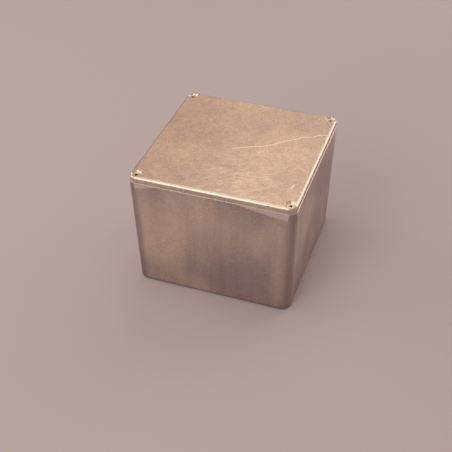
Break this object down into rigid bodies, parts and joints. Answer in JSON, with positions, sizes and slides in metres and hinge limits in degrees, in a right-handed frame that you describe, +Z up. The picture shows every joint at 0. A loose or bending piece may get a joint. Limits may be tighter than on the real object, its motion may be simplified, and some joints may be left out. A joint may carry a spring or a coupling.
{
  "type": "die cast aluminium enclosure",
  "caption": "Square die cast aluminium box with drafted walls, rounded edges and a lap-jointed lid held by a countersunk screw in each corner; houses a circuit.",
  "frame": {"origin": "middle of the flat base, on the surface that the enclosure stands on", "axes": "+Z up through the lid, X and Y square to the walls, the wall seen largest in the picture at -Y"},
  "size_m": [0.12, 0.12, 0.094],
  "materials": {
    "cast_body": "satin, tumbled as cast, linished flats below the rim",
    "cast_lid": "satin, tumbled as cast, lightly scratched",
    "plated_screw": "zinc plated"
  },
  "bodies": {
    "root": {"enclosure_body": "cast_body", "lid": "cast_lid", "lid_screws": "plated_screw"}
  },
  "joints": []
}
